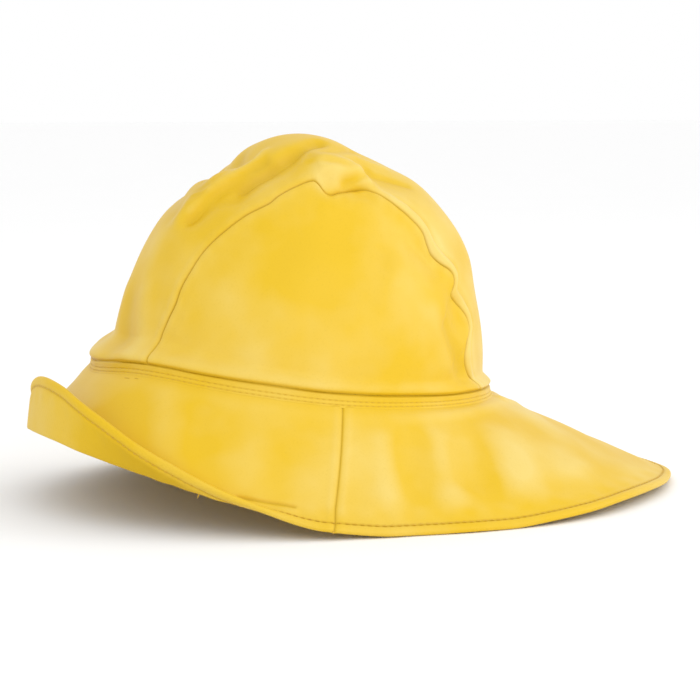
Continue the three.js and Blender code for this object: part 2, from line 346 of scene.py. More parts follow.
@dataclass(frozen=True)
class Stitch:
    """A short stitch of thread: a bent tube that dips into the cloth at both ends. It has six
    sides, because two faces of four sides close each end."""

    length: float
    radius: float
    rise: float
    sides: int = 6
    rings: int = 5
    blunt: float = 0.9

    def sewn(self, centres: Array, along: Array, up: Array) -> Grid:
        """Stitches at many places.

        Along a stitch, s runs from -1 to 1. Its middle line is centre + s length / 2 along,
        raised by rise (1 - s^2) - radius along up. Its radius is radius sqrt(1 - blunt s^4).

        Args:
            centres: The middle of each stitch, on the cloth.
            along: The direction of each stitch.
            up: The direction out of the cloth.

        Returns:
            A grid with all the stitches.
        """
        s = np.linspace(-1.0, 1.0, self.rings)
        turn = np.linspace(0.0, 2.0 * np.pi, self.sides, endpoint=False)
        across = unit(np.cross(along, up))
        middle = centres[:, None] + along[:, None] * (s * self.length / 2)[None, :, None]
        raised = self.rise * (1 - s * s) - self.radius
        middle = middle + up[:, None] * raised[None, :, None]
        thick = (self.radius * np.sqrt(1 - self.blunt * s**4))[None, :, None, None]
        ring = across[:, None, None] * np.cos(turn)[None, None, :, None]
        ring = ring + up[:, None, None] * np.sin(turn)[None, None, :, None]
        points = middle[:, :, None] + ring * thick
        numbers = np.arange(points[..., 0].size).reshape(-1, self.rings, self.sides)
        a, b = numbers[:, :-1, :], numbers[:, 1:, :]
        side = np.stack([a, b, np.roll(b, -1, axis=2), np.roll(a, -1, axis=2)], axis=-1)
        quads = [side.reshape(-1, 4)]
        for end, order in ((0, [0, 1, 2, 3]), (self.rings - 1, [3, 2, 1, 0])):
            cap = numbers[:, end, :]
            quads += [cap[:, [0, 1, 2, 3]][:, order], cap[:, [0, 3, 4, 5]][:, order]]
        flat = points.reshape(-1, 3)
        blank = [np.zeros(len(q)) for q in quads]
        return Grid([flat], quads, blank, [np.zeros((len(flat), 3))], len(flat))


# Finishes


@dataclass(frozen=True)
class Noise:
    """A noise: its scale per metre, its number of octaves, and how strong the finer ones are."""

    scale: float
    octaves: float
    rough: float


class Value:
    """A number or a socket of a node tree, on which Python's arithmetic adds Math nodes."""

    def __init__(self, nodes: "Nodes", source: Any) -> None:
        """Wraps a socket or a number.

        Args:
            nodes: The tree that new nodes go to.
            source: An output socket or a number.
        """
        self.nodes = nodes
        self.source = source

    def _math(self, operation: str, *values: Any) -> "Value":
        """A Math node on the values."""
        return self.nodes.value("ShaderNodeMath", {"operation": operation}, dict(enumerate(values)))

    def __add__(self, other: Any) -> "Value":
        """self + other."""
        return self._math("ADD", self, other)

    def __radd__(self, other: Any) -> "Value":
        """other + self."""
        return self._math("ADD", other, self)

    def __sub__(self, other: Any) -> "Value":
        """self - other."""
        return self._math("SUBTRACT", self, other)

    def __rsub__(self, other: Any) -> "Value":
        """other - self."""
        return self._math("SUBTRACT", other, self)

    def __mul__(self, other: Any) -> "Value":
        """self * other."""
        return self._math("MULTIPLY", self, other)

    def __rmul__(self, other: Any) -> "Value":
        """other * self."""
        return self._math("MULTIPLY", other, self)

    def clamped(self) -> "Value":
        """The value held between 0 and 1."""
        return self._math("MINIMUM", self._math("MAXIMUM", self, 0.0), 1.0)


class Nodes:
    """The node tree of a new material. Its patterns lie on the piece's own coordinates."""

    def __init__(self, name: str) -> None:
        """Makes the material and empties its node tree.

        Args:
            name: The material's name.
        """
        self.material = bpy.data.materials.new(name)
        self.material.use_nodes = True
        self.tree = self.material.node_tree
        self.tree.nodes.clear()
        self.place = self.add("ShaderNodeTexCoord", {}, {}).outputs["Object"]

    def add(self, kind: str, settings: dict[str, Any], inputs: dict[Any, Any]) -> bpy.types.Node:
        """Adds a node.

        Args:
            kind: The node's type.
            settings: Its own settings, set before the sockets.
            inputs: For each socket's name or number, a number, a Value or an output socket.

        Returns:
            The node.
        """
        node = self.tree.nodes.new(kind)
        for name, value in settings.items():
            setattr(node, name, value)
        for name, value in inputs.items():
            source = value.source if isinstance(value, Value) else value
            if isinstance(source, bpy.types.NodeSocket):
                self.tree.links.new(source, node.inputs[name])
            else:
                node.inputs[name].default_value = source
        return node

    def value(
        self, kind: str, settings: dict[str, Any], inputs: dict[Any, Any], output: Any = 0
    ) -> Value:
        """Adds a node and wraps one of its outputs.

        Args:
            kind: The node's type.
            settings: Its own settings.
            inputs: The values or links of its sockets.
            output: The name or number of the output.

        Returns:
            The output.
        """
        return Value(self, self.add(kind, settings, inputs).outputs[output])

    def noise(self, kind: Noise) -> Value:
        """A noise texture.

        Args:
            kind: What kind of noise it is.

        Returns:
            The noise, around 0.5.
        """
        inputs = {"Scale": kind.scale, "Detail": kind.octaves, "Roughness": kind.rough}
        return self.value("ShaderNodeTexNoise", {}, {"Vector": self.place, **inputs}, "Fac")

    def tint(self, share: Any, a: Any, b: Any) -> Value:
        """A colour between a and b.

        Args:
            share: The share of b.
            a: A colour of three numbers, or a Value.
            b: A colour of three numbers, or a Value.

        Returns:
            The colour.
        """
        a, b = [c if isinstance(c, Value) else (*c, 1.0) for c in (a, b)]
        inputs = {"Factor": share, 6: a, 7: b}
        return self.value("ShaderNodeMix", {"data_type": "RGBA"}, inputs, 2)

    def surface(self, inputs: dict[str, Any]) -> bpy.types.Material:
        """Closes the tree with the shader and the output.

        Args:
            inputs: The values or links of the shader's sockets.

        Returns:
            The material.
        """
        shader = self.add("ShaderNodeBsdfPrincipled", {}, inputs)
        self.add("ShaderNodeOutputMaterial", {}, {"Surface": shader.outputs[0]})
        return self.material


@dataclass(frozen=True)
class Skin:
    """How a face of the cloth takes the light."""

    roughness: float
    ribs: float
    bump: float
    specular: float
    sheen: float


class Weave(Enum):
    """What shows at the cloth's surface: the smooth coating, or the knitted backing inside."""

    COATED = Skin(roughness=0.44, ribs=0.22, bump=0.32, specular=0.27, sheen=0.02)
    BACKING = Skin(roughness=0.72, ribs=1.6, bump=0.5, specular=0.2, sheen=0.12)


@dataclass(frozen=True)
class CoatedCloth:
    """Yellow coated cloth: a satin skin with a fine grain and faint cloudy unevenness. The ribs'
    scale is per metre, and the grain is the bump's height in metres."""

    name: str
    weave: Weave
    colour: tuple[float, float, float] = (0.74, 0.475, 0.012)
    # The deeper yellow of the random specks and of the painted shade.
    deep: tuple[float, float, float] = (0.52, 0.315, 0.002)
    # The paler yellow of the random clouds and of the painted highlights on crests.
    pale: tuple[float, float, float] = (0.78, 0.585, 0.155)
    # The saturated yellow of the painted bounce light from yellow cloth nearby.
    bounce_yellow: tuple[float, float, float] = (0.76, 0.485, 0.001)
    grain: float = 0.000035
    clouds: Noise = Noise(22.0, 3.0, 0.5)
    cloud_middle: float = 0.45
    cloud_contrast: float = 1.5
    specks: Noise = Noise(900.0, 2.0, 0.6)
    speck_start: float = 0.55
    speck_strength: float = 0.6
    # How far the painted shade deepens the yellow.
    painted_shade_strength: float = 0.85
    gloss: Noise = Noise(35.0, 4.0, 0.55)
    gloss_range: float = 0.16
    rib_scale: float = 210.0
    pebbles: Noise = Noise(1500.0, 3.0, 0.55)
    pebble_height: float = 0.8
    swell: Noise = Noise(60.0, 2.0, 0.5)
    swell_height: float = 5.0

    def built(self) -> bpy.types.Material:
        """Builds the material.

        Its colour drifts between the middle and the pale yellow in clouds of 5 cm, and towards the
        pale yellow as a painted highlight on crests. It takes a painted bounce of saturated yellow,
        is deeper in creases and seams as painted shade, and is speckled very faintly. Its roughness
        drifts with other clouds. Its bump is a fine grain and a slow swell over the knit's ribs,
        which show weakly through the coating and fully on the backing.

        Returns:
            The material.
        """
        skin = self.weave.value
        nodes = Nodes(self.name)
        clouds, specks = nodes.noise(self.clouds), nodes.noise(self.specks)
        painted_shade, painted_bounce, painted_highlight = [
            nodes.value("ShaderNodeAttribute", {"attribute_name": name}, {}, "Fac")
            for name in LOOKS
        ]
        drift = (clouds - self.cloud_middle) * self.cloud_contrast
        # Painted highlight: crests and lifted cloth drift towards the pale yellow.
        drift = drift + painted_highlight * (clouds + self.cloud_middle)
        speckled = (specks - self.speck_start) * self.speck_strength
        base = nodes.tint(drift.clamped(), self.colour, self.pale)
        base = nodes.tint(speckled.clamped(), base, self.deep)
        # Painted bounce light from yellow cloth nearby.
        base = nodes.tint(painted_bounce.clamped(), base, self.bounce_yellow)
        # Painted shade in creases, seams, grooves and valleys.
        base = nodes.tint((painted_shade * self.painted_shade_strength).clamped(), base, self.deep)
        ribs = nodes.value(
            "ShaderNodeTexWave",
            {"wave_type": "BANDS", "bands_direction": "DIAGONAL", "wave_profile": "SIN"},
            {
                "Vector": nodes.place,
                "Scale": self.rib_scale,
                "Distortion": 1.2,
                "Detail": 2.0,
                "Detail Scale": 1.5,
            },
            "Fac",
        )
        height = nodes.noise(self.pebbles) * self.pebble_height + ribs * skin.ribs
        relief = {
            "Height": height + nodes.noise(self.swell) * self.swell_height,
            "Strength": skin.bump,
            "Distance": self.grain,
        }
        return nodes.surface(
            {
                "Base Color": base,
                "Roughness": (nodes.noise(self.gloss) - 0.5) * self.gloss_range + skin.roughness,
                "Normal": nodes.value("ShaderNodeBump", {}, relief),
                "Specular IOR Level": skin.specular,
                "Sheen Weight": skin.sheen,
                "Sheen Roughness": 0.5,
            }
        )


@dataclass(frozen=True)
class Thread:
    """Yellow sewing thread, a little deeper than the cloth, with its twist. The twist's scale is
    per metre, and its depth is in metres."""

    name: str = "yellow_thread"
    light: tuple[float, float, float] = (0.72, 0.45, 0.015)
    dark: tuple[float, float, float] = (0.56, 0.33, 0.005)
    twist_scale: float = 900.0
    twist_depth: float = 0.00008
    twist_strength: float = 0.6
    fuzz: Noise = Noise(2500.0, 2.0, 0.6)
    fuzz_strength: float = 0.3

    def built(self) -> bpy.types.Material:
        """Builds the material: bands of light and dark for the twist, and a soft sheen.

        Returns:
            The material.
        """
        nodes = Nodes(self.name)
        bands = {"Vector": nodes.place, "Scale": self.twist_scale}
        twist = nodes.value("ShaderNodeTexWave", {"bands_direction": "DIAGONAL"}, bands, "Fac")
        light = twist * self.twist_strength + nodes.noise(self.fuzz) * self.fuzz_strength
        relief = {"Height": twist, "Strength": 0.4, "Distance": self.twist_depth}
        return nodes.surface(
            {
                "Base Color": nodes.tint(light.clamped(), self.dark, self.light),
                "Roughness": 0.6,
                "Normal": nodes.value("ShaderNodeBump", {}, relief),
                "Sheen Weight": 0.2,
            }
        )


@dataclass(frozen=True)
class Paper:
    """The pale studio floor: matt, with a barely visible mottle."""

    name: str = "pale_floor"
    colour: tuple[float, float, float] = (0.985, 0.985, 0.985)
    darker: float = 0.99
    mottle: Noise = Noise(6.0, 3.0, 0.5)

    def built(self) -> bpy.types.Material:
        """Builds the material: two pale greys mixed by a wide noise.

        Returns:
            The material.
        """
        nodes = Nodes(self.name)
        darker = tuple(self.darker * c for c in self.colour)
        base = nodes.tint(nodes.noise(self.mottle), self.colour, darker)
        return nodes.surface({"Base Color": base, "Roughness": 0.9})


# The crown's form


@dataclass(frozen=True)
class Dome:
    """Three half axes about a centre, tipped back so that the front is high. Its surface is
    reached by unit places, which are points of a unit ball that the half axes stretch."""

    side: float = 86.0
    front: float = 95.0
    back: float = 98.0
    height: float = 123.0
    centre_y: float = 1.5
    centre_z: float = 62.0
    tip_back: float = 6.3

    def _tipped(self, x: Array, y: Array, z: Array) -> Array:
        """Turns a direction back about the x axis by the dome's tip."""
        tip = np.radians(self.tip_back)
        return stacked(x, y * np.cos(tip) + z * np.sin(tip), -y * np.sin(tip) + z * np.cos(tip))

    def _axes(self, place: Array) -> Array:
        """The three half axes at unit places: the one along the hat is shorter in front."""
        return stacked(self.side, np.where(place[..., 1] < 0, self.front, self.back), self.height)

    def point(self, place: Array) -> Array:
        """The dome's point for a unit place: place times half axes, tipped, from the centre."""
        stretched = np.moveaxis(place * self._axes(place), -1, 0)
        return self._tipped(*stretched) + np.array([0.0, self.centre_y, self.centre_z])

    def normal(self, place: Array) -> Array:
        """The direction out of the dome: place over half axes, tipped, as a unit vector."""
        return unit(self._tipped(*np.moveaxis(place / self._axes(place), -1, 0)))


# Round the crown's foot: how far the cloth flares out, over what height, and how far the foot lies
# above the dome's widest line.
FOOT = AngleTable(
    ("angle", "flare", "flare_height", "rise"),
    (
        (0, 11.5, 13, -0.3),
        (30, 9, 12, 3.9),
        (60, 4.6, 9, 1.9),
        (90, 2, 7, 0),
        (120, 2.4, 7, 1),
        (150, 4.2, 7, 2.6),
        (180, 5.5, 7, 3.2),
    ),
)
# Half the strip's width over the head. It narrows in front and is wavy behind the top.
STRIP_WIDTH = AngleTable(
    ("angle", "half_width"),
    (
        *((0, 44.3), (6, 43), (12, 44.4), (17, 45.6), (21, 45.2), (27, 45.8), (34, 46.4)),
        *((44, 48.7), (52, 50.1), (60, 51.6), (65, 50.6), (71, 49.7), (78.5, 48.8)),
        *((80.5, 50.4), (82.5, 53.6), (85, 54.2), (88, 53), (91, 51.8), (95, 50.2), (99, 49)),
        *((102, 49), (106, 49.5), (112, 50.6), (118, 51), (125, 51.6), (129, 53.8)),
        *((132.5, 55.2), (137.5, 54), (142.5, 51.3), (145, 52.2), (147.5, 56.2), (151, 54.2)),
        *((155, 51.6), (159, 49.8), (161.5, 50.4), (164, 54), (167.5, 57), (171, 57.1)),
        *((175, 54.8), (178, 50), (180, 48.5)),
    ),
)
# The large folds and dents, along paths on the plain dome.
MAIN_FOLDS = (
    Fold(13, -9, ((-34, -43, 164), (8, -31, 173))),
    Fold(7, 3, ((12, -36, 168), (20, -62, 145))),
    Fold(7, -3.5, ((31, -23, 170), (28, -57, 146))),
    Fold(8, -4.5, ((34, -8, 172), (38, -38, 158))),
    Fold(8, 4.5, ((38, 0, 172), (44, 26, 166))),
    Fold(6, -3, ((51, 4, 161), (51, 24, 160))),
    Fold(16, -6, ((-24, 34, 172), (36, 32, 169))),
    Fold(12, -3, ((-20, 50, 164), (32, 47, 162))),
    Fold(20, 2.5, ((-20, 84, 132), (20, 84, 132))),
    Fold(15, -3.5, ((66, 12, 140), (60, 42, 135))),
    Fold(8, -3, ((57, 52, 128), (56, 57, 120))),
    Fold(8, -3, ((55, 70, 100), (58, 72, 92))),
    Fold(16, 6, ((-50, -44, 150), (-48, -22, 158))),
)
# The fine folds, along paths on the dome with its large folds.
FINE_FOLDS = (
    Fold(3.8, -3.0, ((21, 9, 180), (28, -3, 176), (29, -13, 169), (29, -27, 162), (30, -33, 158))),
    Fold(
        3.0, -2.3, ((24, -20, 171), (24, -29, 167), (26, -41, 158), (26, -50, 153), (26, -59, 142))
    ),
    Fold(3.4, 1.8, ((16, -19, 175), (24, -36, 164), (24, -47, 157), (24, -57, 147))),
    Fold(6.0, -2.4, ((-9, -26, 171), (18, -53, 158))),
    Fold(1.5, 0.6, ((17, -57, 156), (23, -48, 158))),
    Fold(9.0, -2.4, ((-16, -58, 157), (10, -66, 149))),
    Fold(2.4, -0.9, ((12, 29, 176), (29, 14, 174), (39, 0, 174))),
    Fold(3.0, 1.0, ((43, 3, 172), (20, 27, 173), (16, 44, 167))),
    Fold(2.4, -1.1, ((27, 33, 167), (44, 17, 169), (45, 7, 171), (42, -1, 171))),
    Fold(2.6, -1.1, ((31, 31, 165), (28, 42, 162), (27, 54, 158))),
    Fold(6.2, 3.4, ((46, 3, 166), (42, 14, 166), (40, 21, 167))),
    Fold(4.0, 1.2, ((51, 2, 159), (50, 9, 160))),
    Fold(2.4, -2.0, ((49, 14, 161), (40, 27, 164))),
    Fold(2.0, 1.2, ((51, 13, 159), (45, 27, 161))),
    Fold(4.0, -1.6, ((-28, -8, 172), (-34, -30, 160))),
    Fold(4.5, 1.3, ((-38, 2, 168), (-32, 26, 167))),
    Fold(4.0, -1.2, ((-42, 14, 160), (-36, 36, 156))),
    Fold(9, -1.6, ((8, -89, 100), (16, -92, 78))),
    Fold(7, 1.0, ((24, -84, 108), (32, -84, 84))),
    Fold(7, 0.9, ((-6, -88, 106), (-4, -93, 80))),
    Fold(5, -1.4, ((66, 62, 90), (62, 72, 68))),
    Fold(7, 0.9, ((72, 52, 96), (70, 62, 72))),
    Fold(6, -0.8, ((70, 30, 127), (76, 22, 104))),
    Fold(10, 0.7, ((76, 30, 112), (78, 44, 84))),
    Fold(8, 0.7, ((63, -63, 74), (76, -41, 80))),
    Fold(9, -1.6, ((-62, 40, 120), (-66, 52, 100))),
    Fold(14, -1.5, ((-70, -20, 120), (-66, -44, 112))),
    Fold(9, -1.3, ((-30, 78, 130), (-10, 84, 118))),
    Fold(8, 1.0, ((18, 84, 118), (34, 80, 104))),
)


@dataclass(frozen=True)
class LongSeam:
    """How the cloth lies beside the seams over the head. Distances are from the seam, and shares
    run over the head from the front."""

    dip: Mound = Mound(-0.7, 0.0, 0.5)
    welt: Mound = Mound(0.8, 2.4, 1.5)
    welt_in_front: float = 0.4
    fine_crease: Mound = Mound(-0.7, 4.9, 0.9)
    panel_ridge: Mound = Mound(0.25, 3.0, 2.4)
    strip_tuck: Mound = Mound(-1.3, 0.0, 2.3)
    panel_tuck: Mound = Mound(-1.3, 0.0, 1.6)
    tuck_start: tuple[float, float] = (0.44, 0.485)
    tuck_end: tuple[float, float] = (0.53, 0.56)
    back_start: tuple[float, float] = (0.58, 0.68)
    back_end: tuple[float, float] = (0.93, 1.0)
    back_fades: float = 0.8
    mean_width: float = 53.0
    width_range: float = 3.5
    strip_pucker: float = 0.9
    panel_pucker: float = -0.7
    pucker_range: tuple[float, float] = (-0.3, 1.0)
    pucker_reach: float = 9.0
    pucker_starts: float = 2.0
    ripple: Wave = Wave(0.16, 62.0 * np.pi, 0.0, 0.5 * np.pi)
    ripple_reach: float = 5.0
    ripple_starts: float = 1.5

    def lift(self, distance: Array, share: Array, strip: bool) -> Array:
        """The lift of the cloth beside a seam.

        It dips into the seam. On the strip the folded allowance makes a welt, which a fine crease
        ends behind the top. At the top, where the hump hangs over it, the cloth is tucked in. Over
        the back third the seam is puckered: where the strip is wide the strip stands up and the
        panel is drawn in, which fades as exp(-d / pucker_reach). A fine ripple runs all along it.

        Args:
            distance: The distance d from the seam, in mm.
            share: The share of the way over the head.
            strip: True on the strip, False on a panel.

        Returns:
            The lift in mm.
        """
        back = smoothstep(share, *self.back_start)
        back = back * (1 - self.back_fades * smoothstep(share, *self.back_end))
        ridge = self.panel_ridge.rise(distance)
        if strip:
            ridge = mixed(self.welt_in_front, 1.0, back) * self.welt.rise(distance)
            ridge = ridge + back * self.fine_crease.rise(distance)
        tucked = smoothstep(share, *self.tuck_start) * (1 - smoothstep(share, *self.tuck_end))
        tuck = self.strip_tuck if strip else self.panel_tuck
        wide = (STRIP_WIDTH.at("half_width", share * 180.0) - self.mean_width) / self.width_range
        pucker = (self.strip_pucker if strip else self.panel_pucker) * back
        pucker = pucker * np.clip(wide, *self.pucker_range) * np.exp(-distance / self.pucker_reach)
        pucker = pucker * (1 - bell(distance, self.pucker_starts))
        ripple = self.ripple.rise(share) * np.exp(-distance / self.ripple_reach)
        ripple = ripple * (1 - bell(distance, self.ripple_starts))
        return self.dip.rise(distance) + ridge + tucked * tuck.rise(distance) + pucker + ripple


@dataclass(frozen=True)
class CrownForm:
    """The form of the crown's cloth: the dome, its folds, its flare at the foot and its seams."""

    dome: Dome = Dome()
    seam: LongSeam = LongSeam()
    cloth: float = 1.4
    foot_spread: float = 1.3
    foot_swell: Mound = Mound(0.8, 3.6, 2.8)
    foot_tuck: Mound = Mound(-1.0, 0.0, 1.0)
    # Painted shade in the seams, at the foot and in valleys, and painted highlights on crests and
    # lifted cloth:
    seam_shade: float = 0.4
    foot_shade: float = 0.6
    crest_height: float = 2.6
    lift_height: float = 3.0
    valley_share: float = 0.38

    def angle(self, place: Array) -> Array:
        """The angle round from the front of a unit place."""
        return np.degrees(np.arctan2(place[..., 0], -place[..., 1]))

    def foot(self, angle: Array) -> Array:
        """The unit place of the foot: up = rise / height, the rest on the circle.

        Args:
            angle: Angles round from the front.

        Returns:
            The unit places.
        """
        up = FOOT.at("rise", angle) / self.dome.height
        flat = np.sqrt(1 - up * up)
        a = np.radians(angle)
        return stacked(flat * np.sin(a), -flat * np.cos(a), up)

    def above_foot(self, place: Array) -> Array:
        """How far a unit place lies above the foot, up the dome."""
        return place[..., 2] * self.dome.height - FOOT.at("rise", self.angle(place))

    def folded(self, place: Array) -> tuple[Array, Array, Array]:
        """The dome with its main folds.

        Args:
            place: Unit places.

        Returns:
            The points, the directions out of the dome, and the rise of the fine folds there.
        """
        base, normal = self.dome.point(place), self.dome.normal(place)
        points = base + normal * sum(fold.rise(base) for fold in MAIN_FOLDS)[..., None]
        return points, normal, sum(fold.rise(points) for fold in FINE_FOLDS)

    def point(self, place: Array, lift: Array, fine: float = 1.0) -> Array:
        """A point of the cloth: the folded dome, raised along its normal, and flared outwards.

        The flare is the foot's flare times 1 - (3t^2 - 2t^3), for the share t of flare_height
        above the foot.

        Args:
            place: Unit places.
            lift: How far each point is raised along the dome's normal.
            fine: The share of the fine folds that it has.

        Returns:
            The points.
        """
        points, normal, folds = self.folded(place)
        angle = self.angle(place)
        t = np.clip(self.above_foot(place) / FOOT.at("flare_height", angle), 0.0, 1.0)
        flare = FOOT.at("flare", angle) * (1 - t * t * (3 - 2 * t))
        outward = unit(normal * LEVEL)
        return points + normal * (fine * folds + lift)[..., None] + outward * flare[..., None]

    def strip(self, share: Array, across: Array) -> Array:
        """The unit place on the strip: x is across times the half width, and the turn over the
        head runs evenly from foot to foot.

        Args:
            share: The share of the way over the head, from the front.
            across: The share of the way across, from -1 to 1.

        Returns:
            The unit places.
        """
        side = np.sign(across)
        reach = np.abs(across)

        def x_at(angle: Array) -> Array:
            """The unit place's x at an angle over the head."""
            return reach * STRIP_WIDTH.at("half_width", angle) / self.dome.side

        def foot_turn(x: Array, angle: Array) -> Array:
            """The turn over the head at which a section at x meets the foot."""
            return np.degrees(np.arcsin(self.foot(angle)[..., 2] / np.sqrt(1 - x * x)))

        front, back = x_at(np.zeros_like(reach)), x_at(np.full_like(reach, 180.0))
        start = foot_turn(front, np.degrees(np.arcsin(front)))
        end = 180.0 - foot_turn(back, 180.0 - np.degrees(np.arcsin(back)))
        turn = np.radians(mixed(start, end, share))
        x = x_at(180.0 * share)
        flat = np.sqrt(1 - x * x)
        return stacked(side * x, -flat * np.cos(turn), flat * np.sin(turn))

    def panel(self, share: Array, down: Array) -> Array:
        """The unit place on a side panel, on the great circle from its seam to the foot.

        The circles meet the foot at the share 1/2 + k asin(2 share - 1) / pi
        + (1 - k) (share - 1/2) of it, where k is foot_spread, so that near both ends they leave
        the wavy seam steeply and never cross.

        Args:
            share: The share of the way over the head.
            down: The share of the way from the seam to the foot.

        Returns:
            The unit places.
        """
        top = self.strip(share, np.ones_like(share))
        ends = self.angle(self.strip(np.array([0.0, 1.0]), np.ones(2)))
        arc = 0.5 + np.arcsin(np.clip(2 * share - 1, -1.0, 1.0)) / np.pi
        foot = self.foot(mixed(ends[0], ends[1], mixed(share, arc, self.foot_spread)))
        between = np.arccos(np.clip(dot(top, foot), -1.0, 1.0))
        safe = np.maximum(between, 1e-6)
        a = np.where(between < 1e-5, 1.0 - down, np.sin((1 - down) * safe) / np.sin(safe))
        b = np.where(between < 1e-5, down, np.sin(down * safe) / np.sin(safe))
        return unit(top * a[..., None] + foot * b[..., None])

    def foot_lift(self, above: Array) -> Array:
        """How the cloth lies at its foot: it swells above the band and is drawn in at it."""
        return self.foot_swell.rise(above) + self.foot_tuck.rise(above)

    def shown(self, place: Array, lift: Array, distance: Array, added_highlight: Any = 0.0) -> Array:
        """The look of the cloth.

        The painted highlight is the fine folds' rise over crest_height plus the lift over
        lift_height.
        The painted shade is 1 in a seam or at the foot and fades within 1 mm, or valley_share of
        the painted highlight where that is below zero.

        Args:
            place: Unit places.
            lift: How far each point is raised.
            distance: The distance from the seam.
            added_highlight: Painted highlight beyond that of the crests.

        Returns:
            The look of each point.
        """
        # Painted shade in the seams, under the foot's overhang and in valleys; painted highlight on
        # crests and lifted cloth.
        painted_highlight = self.folded(place)[2] / self.crest_height + lift / self.lift_height
        foot = bell(self.above_foot(place), self.foot_shade)
        painted_shade = np.maximum(bell(distance, self.seam_shade), foot)
        return look(np.maximum(painted_shade, -self.valley_share * painted_highlight), 0.0, painted_highlight + added_highlight)


# The crown's pieces


@dataclass
class Crown:
    """The two side panels and the strip over the head. The eased values say how much closer the
    points lie at the ends of the seam, and at the cloth's other edges."""

    form: CrownForm
    over_head: int = 300
    across: int = 96
    down: int = 92
    strip_eased: tuple[float, float] = (0.75, 0.92)
    panel_eased: tuple[float, float] = (0.5, 0.95)
    mean_radius: float = 100.0
    strip_ripples: tuple[Wave, Wave] = (Wave(0.35, 9.0, 14.0), Wave(1.0, 3.0, 23.0))
    panel_ripples: tuple[Wave, Wave] = (Wave(0.4, 4.0, 17.0), Wave(1.0, 9.0, 5.0))
    ripple_starts: tuple[float, float] = (4.0, 14.0)
    smooth_end: float = 0.04
    # A painted highlight on the strip behind the top, strongest beside the seam.
    added_highlight: float = 0.55
    highlight_evenly: float = 0.5
    highlight_from: tuple[float, float] = (0.52, 0.66)
    highlight_seam: Mound = Mound(1.0, 3.0, 6.0)

    def strip(self, finishes: list[bpy.types.Material]) -> bpy.types.Object:
        """The strip over the head, from the front of the foot to its back. Its cloth ripples by
        the product of two waves, and has a painted highlight behind the top and beside the seam.

        Args:
            finishes: The coating and the backing.

        Returns:
            The mesh object.
        """
        form = self.form
        share = eased(self.over_head, self.strip_eased[0])[None, :]
        across = (2 * eased(self.across, self.strip_eased[1]) - 1)[:, None]
        share, across = np.broadcast_arrays(share, across)
        place = form.strip(share, across)
        distance = (1 - np.abs(across)) * STRIP_WIDTH.at("half_width", 180 * share)
        lift = form.seam.lift(distance, share, True) + form.foot_lift(form.above_foot(place))
        wide, narrow = self.strip_ripples
        lift = lift + wide.rise(across, share) * narrow.rise(across, share)
        # Painted highlight behind the top and beside the seam.
        added_highlight = self.added_highlight * smoothstep(share, *self.highlight_from)
        added_highlight = added_highlight * (self.highlight_evenly + self.highlight_seam.rise(distance))
        grid = Grid()
        outer = form.point(place, lift)
        inner = form.point(place, lift - form.cloth)
        grid.cloth(outer, inner, form.shown(place, lift, distance, added_highlight))
        return grid.made("centre_strip", finishes)

    def panel(self, side: int, finishes: list[bpy.types.Material]) -> bpy.types.Object:
        """A side panel, from its seam with the strip down to the foot. Its cloth ripples by the
        product of two waves, away from its edges.

        Args:
            side: 1 for the wearer's left and -1 for the right.
            finishes: The coating and the backing.

        Returns:
            The mesh object.
        """
        form = self.form
        share = eased(self.over_head, self.panel_eased[0])[None, :]
        down = eased(self.down, self.panel_eased[1])[:, None]
        share, down = np.broadcast_arrays(share, down)
        place = form.panel(share, down)
        length = np.arccos(np.clip(dot(place[0], place[-1]), -1, 1)) * self.mean_radius
        distance = down * length[None, :]
        ends = smoothstep(share, 0.0, self.smooth_end)
        ends = ends * (1 - smoothstep(share, 1 - self.smooth_end, 1.0))
        lift = form.seam.lift(distance, share, False) + form.foot_lift(form.above_foot(place))
        wide, narrow = self.panel_ripples
        ripple = wide.rise(down, share) * narrow.rise(down, share)
        lift = lift + ripple * ends * smoothstep(distance, *self.ripple_starts)
        place = place * np.array([float(side), 1.0, 1.0])
        faces = [form.point(place, lift), form.point(place, lift - form.cloth)]
        faces.append(form.shown(place, lift, distance))
        grid = Grid()
        grid.cloth(*[face[::side] for face in faces])
        return grid.made("left_panel" if side > 0 else "right_panel", finishes)


@dataclass
class FootLine:
    """Places beside the crown's foot, from which the band and the brim hang."""

    form: CrownForm

    def beside(self, angle: Array, out: Any, up: Any) -> Array:
        """A point beside the foot's line.

        Args:
            angle: Angles round from the front.
            out: How far it is moved outwards.
            up: How far it is raised.

        Returns:
            The points.
        """
        place = self.form.foot(angle)
        outward = unit(self.form.dome.normal(place) * LEVEL)
        foot = self.form.point(place, np.zeros(place.shape[:-1]), 0.0)
        moved = outward * np.asarray(out)[..., None] + UP * np.asarray(up)[..., None]
        return foot + moved


# The brim


# Round the brim: where the fold between its slope and its upright lies, where its rim lies, and
# from 0 to 1 how level the rim rests on the floor.
BRIM = AngleTable(
    ("angle", "fold_reach", "fold_height", "rim_reach", "rim_height", "level"),
    (
        (0, 138, 36.6, 133.8, 66.8, 0),
        (5, 138, 36.4, 133.8, 66, 0),
        (10, 137.6, 35.6, 133.6, 63.8, 0),
        (16, 136.8, 33.6, 133.4, 59.2, 0),
        (24, 135, 30.6, 132.8, 52, 0),
        (35, 132, 25.4, 132, 40.8, 0),
        (45, 129, 20, 131, 31.2, 0),
        (60, 124.5, 12.8, 130, 16.9, 0),
        (75, 122, 9.6, 129.5, 4.6, 0),
        (86, 123.6, 8, 129.8, 1.4, 0.4),
        (93, 125.4, 7.4, 131, 0.2, 1),
        (100, 127.6, 7.2, 133, 0, 1),
        (110, 134.3, 6.9, 140, 0, 1),
        (120, 142.6, 6.6, 149, 0, 1),
        (135, 158, 7.4, 165.2, 2.4, 0),
        (150, 172, 8.4, 180, 4.2, 0),
        (165, 188, 6.6, 196.5, 2.6, 0),
        (180, 199.5, 3.6, 208, 0, 0),
    ),
)
